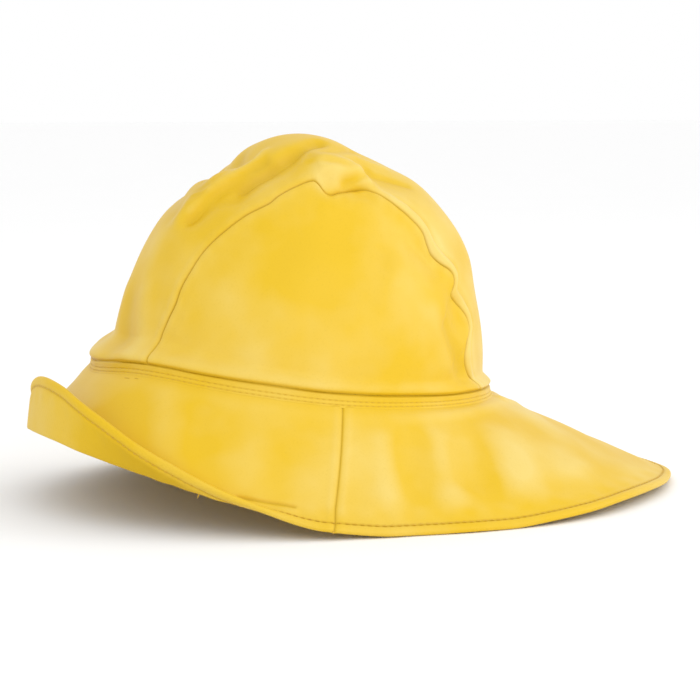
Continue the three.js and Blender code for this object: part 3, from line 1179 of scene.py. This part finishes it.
# The folds of the brim, on a flat map with PER_DEGREE mm for each degree across and the distance
# from the rim down.
PER_DEGREE = 2.2
CREASE_PATH = ((139, 10.1), (150, 10.2), (166, 11.4))
BRIM_FOLDS = (
    Fold(0.9, -1.0, CREASE_PATH),
    Fold(1.6, 0.7, ((136, 7.6), (166, 7.8))),
    Fold(4.0, 1.3, ((359, 97), (378, 95))),
    Fold(7.0, 0.8, ((213, 22), (219, 52))),
    Fold(6.0, -0.6, ((228, 24), (236, 50))),
    Fold(8.0, 0.9, ((244, 20), (253, 56))),
    Fold(6.0, -0.6, ((262, 26), (272, 52))),
    Fold(9.0, 0.8, ((280, 22), (296, 60))),
    Fold(7.0, -0.6, ((118, 24), (112, 50))),
    Fold(9.0, 0.8, ((96, 30), (88, 52))),
    Fold(9.0, 0.7, ((-220, 22), (-230, 50))),
    Fold(8.0, -0.7, ((-260, 24), (-268, 52))),
)


@dataclass
class Section:
    """Places on the brim's underside, with the normal towards its top. Distances run along the
    section."""

    angle: Array
    point: Array
    normal: Array
    from_rim: Array
    from_band: Array
    from_fold: Array


@dataclass(frozen=True)
class BrimRelief:
    """How the brim's cloth departs from its even section. The pairs of distances or angles say
    where something begins and where it is whole."""

    waves: tuple[Wave, ...] = (
        Wave(0.75, 5.0, 0.035),
        Wave(0.5, 9.0, -0.05, 1.3),
        Wave(0.35, 15.0, 0.11, 0.4),
    )
    waves_in_front: float = 0.5
    waves_behind: float = 1.1
    past_band: tuple[float, float] = (3.0, 25.0)
    past_rim: tuple[float, float] = (9.0, 30.0)
    past_fold: tuple[float, float] = (3.0, 22.0)
    rim_wave: Wave = Wave(0.22, 23.0, 0.0, 0.7)
    rim_past_band: tuple[float, float] = (8.0, 40.0)
    rim_past_fold: tuple[float, float] = (1.0, 9.0)
    hem_pull: Wave = Wave(0.22, 60.0)
    hem_pull_at: Mound = Mound(1.0, 9.0, 4.0)
    back: tuple[float, float] = (90.0, 130.0)
    swell: Mound = Mound(1.2, 5.0, 4.0)
    swell_in_front: float = 0.25
    seam_dip: Mound = Mound(-0.5, 0.0, 0.7)
    seam_ridge: Mound = Mound(0.3, 3.0, 1.6)
    # Painted shade in the side seam, beside the band and along the folded crease, and a painted
    # highlight where the cloth is lifted:
    seam_shade: float = 0.5
    band_shade: Mound = Mound(0.6, 0.0, 0.6)
    painted_shade: Fold = Fold(0.6, 0.8, CREASE_PATH)
    painted_highlight: float = 0.55
    highlight_above: float = -0.2
    highlight_past_hem: tuple[float, float] = (6.0, 14.0)

    def lift(self, at: Section, beside_seam: Array) -> Array:
        """The lift along the normal: low waves of the open slope and of the rim, a swell beside
        the band, the dip of the side seam with the ridge of its allowance, and the folds.

        Args:
            at: The places.
            beside_seam: The distance from the side seam.

        Returns:
            The lift of each place.
        """
        a, d, s = np.radians(at.angle), at.from_rim, at.from_band
        open_slope = smoothstep(s, *self.past_band) * smoothstep(d, *self.past_rim)
        open_slope = open_slope * smoothstep(at.from_fold, *self.past_fold)
        back = smoothstep(np.abs(at.angle), *self.back)
        waves = sum(wave.rise(a, s) for wave in self.waves) * open_slope
        waves = waves * mixed(self.waves_in_front, self.waves_behind, back)
        swell = mixed(self.swell_in_front, 1.0, back) * self.swell.rise(s)
        seam = self.seam_dip.rise(beside_seam) + self.seam_ridge.rise(beside_seam)
        rim = self.rim_wave.rise(a) * smoothstep(s, *self.rim_past_band)
        rim = rim * smoothstep(at.from_fold, *self.rim_past_fold)
        hem = self.hem_pull.rise(a) * self.hem_pull_at.rise(d)
        folds = sum(fold.rise(self.flat(at)) for fold in BRIM_FOLDS)
        return waves + swell + seam + rim + hem + folds

    def flat(self, at: Section) -> Array:
        """The places on the flat map of the folds."""
        return stacked(at.angle * PER_DEGREE, at.from_rim)

    def shown(self, at: Section, beside_seam: Array, lift: Array) -> Array:
        """The look: painted shade in the seam, at the band and along the folded crease, and a
        painted highlight where the cloth is lifted, away from the hem.

        Args:
            at: The places.
            beside_seam: The distance from the side seam.
            lift: The lift of each place.

        Returns:
            The look of each place.
        """
        # Painted shade in the side seam, beside the band and along the folded crease.
        painted_shade = np.maximum(bell(beside_seam, self.seam_shade), self.band_shade.rise(at.from_band))
        painted_shade = np.maximum(painted_shade, self.painted_shade.rise(self.flat(at)))
        # Painted highlight where the cloth is lifted, away from the hem.
        painted_highlight = (lift - self.highlight_above) * self.painted_highlight
        return look(painted_shade, 0.0, painted_highlight * smoothstep(at.from_rim, *self.highlight_past_hem))


@dataclass(frozen=True)
class ThreadEnd:
    """A loose end of thread: where it is on the brim, its size, which way it hangs if it doesn't
    lie along the rim, how far its middle is from the cloth, and if it hangs below the cloth."""

    angle: float
    stage: float
    length: float
    radius: float
    hangs: Optional[tuple[float, float, float]] = None
    out: float = 0.0
    below: bool = False


@dataclass
class Brim:
    """The brim's two pieces, their hem with its stitches, and the seams at the sides.

    A section has stages: from 0 to 1 the slope from the band, to 2 the bend of the fold, and to 3
    the upright up to the rim. Pairs of distances or angles say where something begins and where it
    is whole, and a count's eased value says how much closer the rows lie at the ends.
    """

    line: FootLine
    relief: BrimRelief = BrimRelief()
    start_out: float = -1.0
    start_up: float = -7.3
    twist: float = 10.0
    seam_at_band: float = 90.0
    seam_at_rim: float = 83.5
    seam_gap: float = 0.02
    slope_share: float = 0.85
    level_drop: float = 0.5
    cloth: float = 2.0
    hem: float = 2.6
    hem_bead: Mound = Mound(0.7, 2.4, 1.5)
    stitch_line: float = 4.9
    hem_end: tuple[float, float] = (-0.6, 2.2)
    hem_step: tuple[float, float] = (0.0, 3.0)
    stitch_groove: Mound = Mound(-1.0, 0.0, 0.75)
    # Painted shade along the stitched groove.
    stitch_shade: Mound = Mound(0.75, 0.0, 0.6)
    lift_share: float = 0.8
    fold_bend: float = 5.0
    bent_share: float = 0.45
    # Painted bounce light from yellow cloth in the gutter and beside the band:
    gutter: Mound = Mound(0.9, 0.0, 17.0)
    gutter_steeper: float = 1.6
    turned_up: tuple[float, float] = (50.0, 78.0)
    band_bounce: Mound = Mound(0.5, 0.0, 9.0)
    # Painted shade on the turned-up front's outer face, towards the sides and past the hem:
    shade: float = 0.95
    shade_from: tuple[float, float] = (18.0, 46.0)
    shade_to: tuple[float, float] = (60.0, 80.0)
    shade_past_hem: tuple[float, float] = (-0.5, 2.5)
    reach: tuple[float, float] = (90.0, 130.0)
    columns: int = 320
    columns_eased: float = 0.6
    slope: int = 62
    slope_eased: float = 0.8
    turn: int = 14
    upright: int = 40
    upright_eased: float = 1.7
    stitch: Stitch = Stitch(2.6, 0.28, 0.3)
    stitch_step: float = 3.6
    stitch_above: float = 0.36
    stitch_below: float = 0.12
    rim_steps: int = 2880
    stage_steps: int = 900
    ends: tuple[ThreadEnd, ...] = (
        ThreadEnd(55.2, 1.7, 2.4, 0.2, (0.1, -0.35, -1.0), 0.9, True),
        ThreadEnd(83.4, 2.97, 2.2, 0.32, (0.85, -0.35, -0.25), 0.7),
        ThreadEnd(25.0, 0.06, 5.2, 0.2),
        ThreadEnd(28.5, 0.05, 3.4, 0.16),
    )
    end_rise: float = 0.3
    step_ahead: float = 0.3
    far: float = 50.0

    def seam(self, down: Array, side: int) -> Array:
        """The side seam's angle.

        Args:
            down: The share of the way down the brim.
            side: 1 for the edge behind the gap and -1 for the edge in front of it.

        Returns:
            The angle at each share.
        """
        half_gap = np.degrees(self.seam_gap / 2 / self.line.form.dome.side)
        return mixed(self.seam_at_band, self.seam_at_rim, down) + side * half_gap

    def rows(self) -> tuple[Array, Array]:
        """The rows of a section, which lie closer together at the band and at the rim.

        Returns:
            The stage of each row, and the share of the way down that leans the seam.
        """
        slope = eased(self.slope, self.slope_eased)
        turn = np.linspace(1, 2, self.turn + 1)[1:]
        left = 1.0 - np.linspace(0, 1, self.upright + 1)[1:]
        t = np.concatenate([slope, turn, 3.0 - left**self.upright_eased])
        beyond = mixed(self.slope_share, 1.0, (t - 1) / 2)
        return t, np.where(t <= 1, t * self.slope_share, beyond)

    def section(self, angle: Array, t: Array) -> Section:
        """The brim's underside at an angle and a stage of its section.

        The slope is a straight line from the band towards the fold, the bend is a parabola with
        its corner at the fold, and the upright is a straight line to the rim.

        Args:
            angle: Angles round from the front, from -180 to 360.
            t: Stages from 0 to 3.

        Returns:
            The places.
        """
        angle = (angle + 180.0) % 360.0 - 180.0
        turned = angle - self.twist * np.cos(np.radians(angle / 2)) ** 4
        a = np.radians(angle)
        outward = stacked(np.sin(a), -np.cos(a), 0.0)
        drop = self.level_drop * np.clip(BRIM.at("level", turned), 0, 1)
        fold_height = BRIM.at("fold_height", turned)
        rim_height = np.maximum(0.0, BRIM.at("rim_height", turned)) - drop
        start = self.line.beside(angle, self.start_out, self.start_up)
        fold = outward * BRIM.at("fold_reach", turned)[..., None] + UP * fold_height[..., None]
        rim = outward * BRIM.at("rim_reach", turned)[..., None] + UP * rim_height[..., None]
        upright = np.linalg.norm(rim - fold, axis=-1)
        bend = np.minimum(self.fold_bend, self.bent_share * upright)[..., None]
        corners = (start, fold + unit(start - fold) * bend, fold + unit(rim - fold) * bend, rim)
        _, to_fold, from_fold, _ = corners
        shares = [np.clip(t - stage, 0, 1) for stage in range(3)]
        s, b, u = [share[..., None] for share in shares]
        on_slope = start + (to_fold - start) * s
        on_bend = (1 - b) ** 2 * to_fold + 2 * b * (1 - b) * fold + b * b * from_fold
        on_upright = from_fold + (rim - from_fold) * u
        t = t[..., None]
        tangent = unit((1 - b) * (fold - to_fold) + b * (from_fold - fold))
        across = unit((rim - start) * LEVEL)
        lengths = [np.linalg.norm(q - p, axis=-1) for p, q in zip(corners, corners[1:])]
        from_band = sum(share * length for share, length in zip(shares, lengths))
        return Section(
            angle,
            np.where(t <= 1, on_slope, np.where(t <= 2, on_bend, on_upright)),
            across * -tangent[..., 2:] + UP * dot(tangent, across)[..., None],
            sum((1 - share) * length for share, length in zip(shares, lengths)),
            from_band,
            np.abs(from_band - lengths[0] - lengths[1] / 2),
        )

    def thickness(self, d: Array) -> Array:
        """The cloth's thickness.

        It goes from that of the hem to that of the cloth beyond the stitched line, with a bead
        along the rim and a groove on the stitched line, and is rounded off at the rim as half a
        circle: times sqrt(1 - (1 - d / r)^2), for half the hem's thickness r.

        Args:
            d: The distance from the rim.

        Returns:
            The thickness at each distance.
        """
        beyond = d - self.stitch_line
        flat = mixed(self.hem, self.cloth, smoothstep(beyond, *self.hem_end))
        flat = flat + self.hem_bead.rise(d) + self.stitch_groove.rise(beyond)
        r = self.hem / 2
        return flat * np.sqrt(np.maximum(0.0, 1 - (1 - np.minimum(d / r, 1.0)) ** 2))

    def faces(self, angle: Array, t: Array, beside: Array) -> tuple[Array, Array, Array, Section]:
        """Both faces of the cloth, which lie half its thickness to both sides of its middle.

        Args:
            angle: Angles round from the front.
            t: Stages of the section.
            beside: The distance from the side seam.

        Returns:
            The top, the underside, the look, and the places of the even section.
        """
        at = self.section(angle, t)
        lift = self.relief.lift(at, beside)
        beyond = at.from_rim - self.stitch_line
        whole = mixed(self.hem, self.cloth, smoothstep(beyond, *self.hem_step))
        middle = at.point + at.normal * (whole / 2 + lift * self.lift_share)[..., None]
        half = at.normal * (self.thickness(at.from_rim) / 2)[..., None]
        # Painted shade along the stitched groove.
        stitched = look(self.stitch_shade.rise(beyond))
        shown = np.maximum(self.relief.shown(at, beside, lift), stitched)
        return middle + half, middle - half, shown, at

    def piece(self, front: bool, finishes: list[bpy.types.Material]) -> bpy.types.Object:
        """The front or the back of the brim. A painted bounce light deepens the yellow in the
        gutter and beside the band, and a painted shade darkens the turned-up front's outer face
        towards the sides.

        Args:
            front: True for the piece in front of the side seams.
            finishes: The coating and the backing.

        Returns:
            The mesh object.
        """
        t, down = [rows[:, None] for rows in self.rows()]
        low = -self.seam(down, -1) if front else self.seam(down, 1)
        high = -low if front else 360.0 - low
        angle = mixed(low, high, eased(self.columns, self.columns_eased)[None, :])
        t = np.broadcast_to(t, angle.shape)
        beside = np.radians(np.minimum(angle - low, high - angle)) * mixed(*self.reach, down)
        top, under, looks, at = self.faces(angle, t, beside)
        ahead = np.abs(at.angle)
        # Painted bounce light: saturated yellow in the gutter and beside the band.
        gutter = self.gutter.rise(at.from_fold * np.where(t > 1.5, self.gutter_steeper, 1.0))
        gutter = gutter * (1 - smoothstep(ahead, *self.turned_up))
        painted_bounce = np.maximum(gutter, self.band_bounce.rise(at.from_band))
        # Painted shade on the outer face of the turned-up front.
        shade = smoothstep(ahead, *self.shade_from) * (1 - smoothstep(ahead, *self.shade_to))
        shade = shade * smoothstep(at.from_rim - self.stitch_line, *self.shade_past_hem)
        shaded = look(np.maximum(self.shade * shade, looks[..., 0]))
        grid = Grid()
        grid.cloth(top, under, np.maximum(looks, look(0.0, painted_bounce)), shaded)
        return grid.made("front_brim" if front else "back_brim", finishes)

    def stitches(self, finishes: list[bpy.types.Material]) -> bpy.types.Object:
        """The stitches of the hem, on both sides of the cloth, spaced evenly along the rim.

        For each stitch the stage is found at which the section is stitch_line from the rim, by
        reading the distance off a fine table of stages.

        Args:
            finishes: The thread.

        Returns:
            The mesh object.
        """
        fine = np.linspace(-180.0, 180.0, self.rim_steps + 1)
        rim = self.section(fine, np.full_like(fine, 3.0)).point
        run = np.concatenate([[0.0], np.cumsum(np.linalg.norm(np.diff(rim, axis=0), axis=1))])
        count = int(run[-1] / self.stitch_step)
        angle = np.interp(np.arange(count) * run[-1] / count, run, fine)
        stages = np.linspace(0.0, 3.0, self.stage_steps + 1)
        wide, tall = np.broadcast_arrays(angle[:, None], stages[None, :])
        away = np.abs(self.section(wide, tall).from_rim - self.stitch_line)
        t = stages[np.argmin(away, axis=1)]
        far = np.full_like(angle, self.far)
        top, under, _, at = self.faces(angle, t, far)
        ahead_top, ahead_under, _, _ = self.faces(angle + self.step_ahead, t, far)
        above, below = top + at.normal * self.stitch_above, under - at.normal * self.stitch_below
        grids = [
            self.stitch.sewn(above, unit(ahead_top - top), at.normal),
            self.stitch.sewn(below, unit(ahead_under - under), -at.normal),
        ]
        return joined(grids).made("hem_stitches", finishes)

    def thread_ends(self, finishes: list[bpy.types.Material]) -> bpy.types.Object:
        """The loose thread ends: one under the gutter, one at the side seam's rim and two below
        the band in front.

        Args:
            finishes: The thread.

        Returns:
            The mesh object.
        """
        grids = []
        for end in self.ends:
            angle, t, far = np.array([end.angle]), np.array([end.stage]), np.array([self.far])
            top, under, _, at = self.faces(angle, t, far)
            ahead = self.faces(angle + self.step_ahead, t, far)[0]
            along = unit(np.array([end.hangs]) if end.hangs else ahead - top)
            centre = (under if end.below else top) + along * end.out
            thread = Stitch(end.length, end.radius, self.end_rise)
            grids.append(thread.sewn(centre, along, at.normal))
        return joined(grids).made("thread_ends", finishes)


# The band


@dataclass
class Band:
    """The band at the crown's foot, with two stitched grooves and its small stitches. Its inner
    face has a row of points for every coarse rows of its outer face."""

    brim: Brim
    top: float = -0.1
    bottom: float = -5.15
    inset: float = -0.35
    cloth: float = 1.9
    tuck: float = 0.12
    on_brim: float = 0.015
    behind: float = -9.0
    sag: float = 0.5
    inner_sag: float = 0.8
    inner_lean: float = 0.2
    edge: Mound = Mound(-0.9, 0.0, 0.1)
    # Painted shade at the top edge, under the crown's foot.
    edge_shade: float = 0.12
    grooves: tuple[float, float] = (0.52, 0.8)
    groove_width: float = 0.05
    groove_depth: float = 0.22
    # Painted shade in the stitched grooves.
    groove_shade: float = 0.3
    waves: tuple[Wave, Wave] = (Wave(0.12, 41.0), Wave(1.0, 17.0))
    columns: int = 720
    down: int = 34
    coarse: int = 8
    stitch: Stitch = Stitch(2.0, 0.14, 0.14)
    stitches_round: int = 196
    stitch_above: float = 0.1
    step_ahead: float = 0.4

    def outer(self, angle: Array, t: Array) -> tuple[Array, Array]:
        """The band's outer face.

        It runs straight from the foot to the brim's top face, into which it is tucked. It is moved
        out by its waves less sag, times sin(pi t), and in at its grooves and at its top edge.

        Args:
            angle: Angles round from the front.
            t: The share of the way down the band.

        Returns:
            The points, and how deep they lie in a crease.
        """
        line, a, arch = self.brim.line, np.radians(angle), np.sin(np.pi * t)
        groove = sum(bell(t - at, self.groove_width) for at in self.grooves)
        on_brim, far = np.full_like(angle, self.on_brim), np.full_like(angle, self.brim.far)
        top, _, _, at = self.brim.faces(angle, on_brim, far)
        end = top - at.normal * self.tuck
        start = line.beside(angle, self.inset, self.top)
        outward = unit((end - line.beside(angle, self.behind, 0.0)) * LEVEL)
        out = (self.waves[0].rise(a) * self.waves[1].rise(a) - self.sag) * arch
        # The points, and the painted shade in the grooves and at the top edge.
        out = out - self.groove_depth * groove + self.edge.rise(t)
        point = start + (end - start) * t[..., None] + outward * out[..., None]
        # Painted shade in the grooves and at the top edge.
        return point, np.maximum(self.groove_shade * groove, bell(t, self.edge_shade))

    def made(self, finishes: list[bpy.types.Material]) -> bpy.types.Object:
        """Builds the band as a closed ring: the outer face, the lower edge, the inner face and
        the upper edge.

        Args:
            finishes: The coating and the backing.

        Returns:
            The mesh object.
        """
        angle = np.linspace(-180.0, 180.0, self.columns + 1)[None, :-1]
        t = np.linspace(0.0, 1.0, self.down + 1)[:, None]
        angle, t = np.broadcast_arrays(angle, t)
        face, depth = self.outer(angle, t)
        angle, t = angle[:: self.coarse], t[:: self.coarse]
        out = self.inset - self.cloth - self.inner_sag * np.sin(np.pi * t) + self.inner_lean * t
        back = self.brim.line.beside(angle, out, mixed(self.top, self.bottom, t))
        grid = Grid()
        # depth carries the painted shade of the grooves and the top edge.
        front = grid.add(face, look(depth))
        rear = grid.add(back[::-1])
        loop = np.concatenate([front, rear, front[:1]])
        loop = np.concatenate([loop, loop[:, :1]], axis=1)
        rows = len(front)
        grid.face(loop[:rows], 0)
        grid.face(loop[rows - 1 :], 1)
        return grid.made("crown_band_cloth", finishes)

    def stitches(self, finishes: list[bpy.types.Material]) -> bpy.types.Object:
        """The stitches in both grooves: even steps of angle, a little shorter than their spacing.

        Args:
            finishes: The thread.

        Returns:
            The mesh object.
        """
        angle = np.linspace(-180.0, 180.0, self.stitches_round + 1)[:-1]
        grids = []
        for groove in self.grooves:
            t = np.full_like(angle, groove)
            here, _ = self.outer(angle, t)
            ahead, _ = self.outer(angle + self.step_ahead, t)
            along = unit(ahead - here)
            out = unit(np.cross(along, UP))
            grids.append(self.stitch.sewn(here + out * self.stitch_above, along, out))
        return joined(grids).made("band_stitches", finishes)


# The studio


@dataclass(frozen=True)
class Lamp:
    """A square soft light aimed at the crown. Lengths are in metres, and its power is in watts."""

    name: str
    place: tuple[float, float, float]
    size: float
    power: float
    aim: tuple[float, float, float] = (0.0, 0.0, 0.08)

    def lit(self) -> None:
        """Puts the light into the scene."""
        data = bpy.data.lights.new(self.name, "AREA")
        data.shape = "SQUARE"
        data.size = self.size
        data.energy = self.power
        lamp = bpy.data.objects.new(self.name, data)
        lamp.location = self.place
        ray = Vector(self.aim) - Vector(self.place)
        lamp.rotation_euler = ray.to_track_quat("-Z", "Y").to_euler()
        bpy.context.scene.collection.objects.link(lamp)


@dataclass(frozen=True)
class Studio:
    """The floor, the lights and the camera. Lengths are in metres, angles in degrees, and the
    focal length, the frame and the crown's place in it in pixels of the photograph."""

    azimuth: float = 75.0
    distance: float = 1.1
    height: float = 0.205
    focal: float = 2139.0
    pitch: float = 6.842
    crown_column: float = 291.5
    frame_width: float = 700.0
    sensor_width: float = 36.0
    clip: tuple[float, float] = (0.05, 60.0)
    floor_reach: float = 14.0
    floor_height: float = -0.0003
    lamps: tuple[Lamp, ...] = (
        Lamp("key", (1.8, 0.3, 0.85), 1.4, 9.0),
        Lamp("rim", (0.35, 1.7, 0.8), 1.0, 5.0),
    )

    def camera(self) -> None:
        """The camera at the photograph's angle, with its axis turned from the crown's centre."""
        a = np.radians(self.azimuth)
        yaw = np.arctan((self.frame_width / 2 - self.crown_column) / self.focal)
        ahead = np.array([-np.sin(a), np.cos(a)])
        right = np.array([np.cos(a), np.sin(a)])
        flat = ahead * np.cos(yaw) + right * np.sin(yaw)
        p = np.radians(self.pitch)
        view = Vector((flat[0] * np.cos(p), flat[1] * np.cos(p), -np.sin(p)))
        data = bpy.data.cameras.new("camera")
        data.sensor_width = self.sensor_width
        data.lens = self.focal / self.frame_width * data.sensor_width
        data.clip_start, data.clip_end = self.clip
        camera = bpy.data.objects.new("camera", data)
        camera.location = (
            float(np.sin(a) * self.distance),
            float(-np.cos(a) * self.distance + CROWN_Y * MM),
            self.height,
        )
        camera.rotation_euler = view.to_track_quat("-Z", "Y").to_euler()
        bpy.context.scene.collection.objects.link(camera)
        bpy.context.scene.camera = camera

    def floor(self) -> None:
        """A wide flat floor just below the rim."""
        mesh = bpy.data.meshes.new("floor")
        r, z = self.floor_reach, self.floor_height
        mesh.from_pydata([(-r, -r, z), (r, -r, z), (r, r, z), (-r, r, z)], [], [(0, 1, 2, 3)])
        mesh.materials.append(Paper().built())
        floor = bpy.data.objects.new("floor", mesh)
        bpy.context.scene.collection.objects.link(floor)

    def lights(self) -> None:
        """A white surround, a large soft key on the camera's right and a weaker light behind the
        hat's back."""
        world = bpy.data.worlds.new("surround")
        world.use_nodes = True
        background = world.node_tree.nodes["Background"]
        background.inputs["Color"].default_value = (1.0, 1.0, 1.0, 1.0)
        background.inputs["Strength"].default_value = 1.0
        bpy.context.scene.world = world
        for lamp in self.lamps:
            lamp.lit()
        bpy.context.scene.view_settings.view_transform = "Standard"

    def built(self) -> None:
        """Sets up the camera, the floor and the lights."""
        self.camera()
        self.floor()
        self.lights()


# Putting it together


def dressed(piece: bpy.types.Object, *nodes: str) -> None:
    """Lets a piece ride on the hat's body, replaces nodes, and reports it.

    Args:
        piece: The mesh object.
        nodes: The names of the CAD nodes that it stands for.
    """
    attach(piece, BODY)
    if nodes:
        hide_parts(*nodes)
    log.info("%s: %d faces", piece.name, len(piece.data.polygons))


def main() -> None:
    """Builds the hat and the studio."""
    logging.basicConfig(level=logging.INFO, format="%(name)s %(message)s")
    cloth = [
        CoatedCloth("yellow_coating", Weave.COATED).built(),
        CoatedCloth("yellow_backing", Weave.BACKING).built(),
    ]
    thread = [Thread().built()]
    form = CrownForm()
    crown = Crown(form)
    brim = Brim(FootLine(form))
    band = Band(brim)
    dressed(crown.strip(cloth), "crown_centre_strip")
    dressed(crown.panel(1, cloth), "crown_left_panel")
    dressed(crown.panel(-1, cloth), "crown_right_panel")
    dressed(band.made(cloth), "crown_band")
    dressed(band.stitches(thread))
    dressed(brim.piece(True, cloth), "brim_front")
    dressed(brim.piece(False, cloth), "brim_back")
    dressed(brim.stitches(thread))
    dressed(brim.thread_ends(thread))
    Studio().built()


if __name__ == "__main__":
    main()
